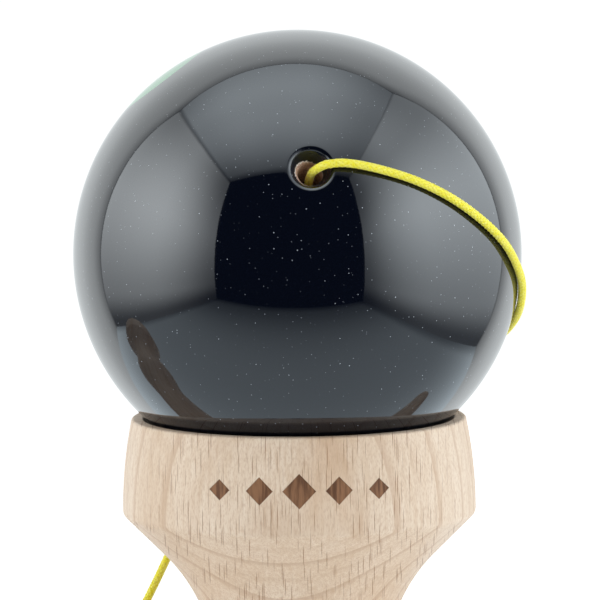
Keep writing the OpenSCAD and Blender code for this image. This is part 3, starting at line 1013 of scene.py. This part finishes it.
def yellow_braid(pieces):
    """Yellow fibres with painted shade, darker in the gaps of the braid, and noise that shifts the tone and
    roughens it.
    """
    tree, shader = finish("yellow_braid", pieces)
    place = in_mm(tree)
    tone = ease(tree, noise(tree, place, (2.5, 2.5, 2.5), detail=3.0), 0.3, 0.7)
    shade = mix(tree, tone, colour(250, 242, 48), colour(255, 251, 118))
    crown = add(tree, "Attribute", attribute_name="crown").outputs["Fac"]
    # Painted shade: the colour goes darker where the stored crown height falls into the gaps between strands.
    shade = mix(tree, ease(tree, crown, 0.75, 0.1), shade, colour(224, 207, 16))
    fibre = noise(tree, place, (9.0, 9.0, 9.0), detail=2.0)
    dress(tree, shader, shade, fibre, strength=0.5, depth=0.04)
    tune(shader, {"Roughness": 0.5, "Specular IOR Level": 0.25, "Sheen Weight": 0.2,
                  "Subsurface Weight": 0.15, "Subsurface Radius": (0.6 * mm, 0.5 * mm, 0.1 * mm)})


bead_wood(stopper_bead)
yellow_braid([string_cord, bead_tie, ken_tie])

# %% [markdown]
# ## Floor, light and tent
# The toy stands on a pale floor that shows as white further off, keeps a soft shadow and lights the toy from
# below, more so from the right. The ball mirrors a white photo tent: bright walls left, right and above, and
# the dark opening that the camera looks through. The tent's walls are seen by reflections only, so they don't
# light the wood.

# %% Floor
floor_half = 5.0
floor_tone = 0.9
glow_near, glow_far = 0.08, 0.68
glow_span = (150, 300)
bounce_left, bounce_right = 0.12, 0.3
bounce_spread = 130


def seen_directly(tree):
    """1 for rays from the camera and for mirror or glass rays, and 0 for rays that only carry light."""
    path = add(tree, "LightPath")
    mirrored = maths(tree, "MAXIMUM", path.outputs["Is Glossy Ray"], path.outputs["Is Transmission Ray"])
    return maths(tree, "MAXIMUM", path.outputs["Is Camera Ray"], mirrored)


def flat_card(name, corners):
    """A four-cornered sheet of the stage, corners in mm, seen by the render but no part of the toy."""
    mesh = bpy.data.meshes.new(name)
    mesh.from_pydata((np.array(corners, float) * mm).tolist(), [], [(0, 1, 2, 3)])
    card = placed(name, mesh)
    return card


reach = floor_half / mm
floor = flat_card("floor", [(-reach, -reach, 0), (reach, -reach, 0), (reach, reach, 0), (-reach, reach, 0)])
floor_tree, floor_shader = finish("white_floor", [floor])
from_toy = add(floor_tree, "VectorMath", {0: in_mm(floor_tree)}, operation="LENGTH").outputs["Value"]
glow = between(floor_tree, ease(floor_tree, from_toy, *glow_span), glow_near, glow_far)
across_floor = add(floor_tree, "SeparateXYZ", {0: in_mm(floor_tree)}).outputs["X"]
to_right = ease(floor_tree, across_floor, -bounce_spread, bounce_spread)
bounce = between(floor_tree, to_right, bounce_left, bounce_right)
more_glow = maths(floor_tree, "SUBTRACT", glow, bounce)
lit = maths(floor_tree, "MULTIPLY_ADD", seen_directly(floor_tree), more_glow, bounce)
floor_tree.links.new(lit, floor_shader.inputs["Emission Strength"])
tune(floor_shader, {"Base Color": (floor_tone, floor_tone, floor_tone, 1), "Roughness": 0.9,
                    "Specular IOR Level": 0.0, "Emission Color": (1, 1, 1, 1)})

# %% World
room_light = 0.41
world = bpy.data.worlds.new("white_room")
world.use_nodes = True
bpy.context.scene.world = world
world_tree = world.node_tree
room = world_tree.nodes["Background"]
room.inputs["Color"].default_value = (1, 1, 1, 1)
world_tree.links.new(between(world_tree, seen_directly(world_tree), room_light, 1), room.inputs["Strength"])
print("room light:", room_light)

# %% Lamps
toy_middle = Vector((0, 0, 60))


def soft_lamp(name, place, size, watts):
    """A square area lamp, in mm, that lights the toy but doesn't show as a square in the ball."""
    data = bpy.data.lights.new(name, "AREA")
    data.size = size * mm
    data.energy = watts
    lamp = placed(name, data)
    lamp.location = Vector(place) * mm
    lamp.rotation_euler = (toy_middle - Vector(place)).to_track_quat("-Z", "Y").to_euler()
    lamp.visible_glossy = False
    print(name, "gives", watts, "W from", place)


soft_lamp("left_lamp", (-330, -110, 250), size=300, watts=0.68)
soft_lamp("right_lamp", (320, -140, 250), size=300, watts=0.66)
soft_lamp("top_lamp", (0, -60, 560), size=380, watts=0.15)

# %% [markdown]
# The tent is a box of six sheets, and its back leans away a little. Each sheet glows by ramps along the axes:
# brighter in the middle of a wall, darker towards the floor and the opening. At the seams the ball shows a
# thin dark line.

# %% Tent
tent_x = (-210, 156)
tent_y = (-245, 84)
tent_z = (0.3, 342)
back_lean = 0.078
tent_box = np.stack(np.meshgrid(tent_x, tent_y, tent_z, indexing="ij"), axis=-1)
tent_box[:, 1, :, 1] += back_lean * tent_box[:, 1, :, 2]


def tent_wall(name, four_corners, tint, strength, *ramps):
    """A sheet that shines by the product of its ramps. A ramp is an axis, or Ball for the distance from the
    ball's middle, two places along it and the values there, with a smooth step between."""
    card = flat_card(name, four_corners.reshape(4, 3)[[0, 1, 3, 2]])
    tree, shader = finish(name, [card])
    place = in_mm(tree)
    along = dict(add(tree, "SeparateXYZ", {0: place}).outputs.items())
    from_ball = add(tree, "VectorMath", {0: place, 1: tama_centre.tolist()}, operation="DISTANCE")
    along["Ball"] = from_ball.outputs["Value"]
    shine = strength
    for axis, start, end, low, high in ramps:
        steps = {"Value": along[axis], "From Min": start, "From Max": end, "To Min": low, "To Max": high}
        ramp = add(tree, "MapRange", steps, interpolation_type="SMOOTHSTEP")
        shine = product(tree, shine, ramp.outputs["Result"])
    light = add(tree, "Emission", {"Color": (*tint, 1), "Strength": shine})
    tree.links.new(light.outputs[0], tree.nodes["Material Output"].inputs["Surface"])
    tree.nodes.remove(shader)
    card.data.materials[0].cycles.emission_sampling = "NONE"
    for ray in ("camera", "diffuse", "transmission", "volume_scatter", "shadow"):
        setattr(card, "visible_" + ray, False)


# %% Tent walls
side_ramps = [("Y", -75, 112, 1, 0.5), ("Z", 6, 46, 0.22, 1), ("Z", 20, 170, 0.41, 1),
              ("Z", 342, 332, 0.5, 1)]
tent_wall("tent_left", tent_box[0], (0.94, 1, 1.03), 5.5,
          ("Y", -250, -60, 0.28, 1), ("Z", 160, 330, 1, 0.55), *side_ramps)
tent_wall("tent_right", tent_box[1], (0.92, 1, 1.045), 5.35,
          ("Y", -250, -60, 0.2, 1), ("Z", 140, 270, 1, 0.5), *side_ramps)
tent_wall("tent_top", tent_box[:, :, 1], (0.905, 1, 1.06), 3.07,
          ("Y", -248, -215, 0.3, 1), ("Y", -276, -48, 0.2, 1), ("Y", 0, 138, 1, 0.55),
          ("X", -210, -90, 0.75, 1), ("X", 156, 10, 0.55, 1), ("X", -210, -198, 0.5, 1))
tent_wall("tent_back", tent_box[:, 1], (0.95, 1, 1.015), 1.66,
          ("X", -210, -150, 0.62, 1), ("X", -210, -196, 0.6, 1), ("X", 156, 105, 0.62, 1),
          ("X", 156, 146, 0.6, 1), ("Z", 342, 270, 0.62, 1), ("Z", 342, 328, 0.6, 1),
          ("Ball", 90, 142, 0.6, 1))
tent_wall("tent_floor", tent_box[:, :, 0], (0.87, 1, 1.08), 1.13,
          ("Y", -245, -215, 0.3, 1), ("Y", -235, -60, 0.25, 1), ("Y", -20, 110, 1, 1.75),
          ("X", 156, 134, 0.5, 1), ("X", -210, -190, 0.6, 1))
tent_wall("tent_opening", tent_box[:, 0], (1, 1, 1), 0.0)

# %% [markdown]
# ## Finish
# Colours are shown with the plain Standard view.

# %% Finish
bpy.context.scene.view_settings.view_transform = "Standard"
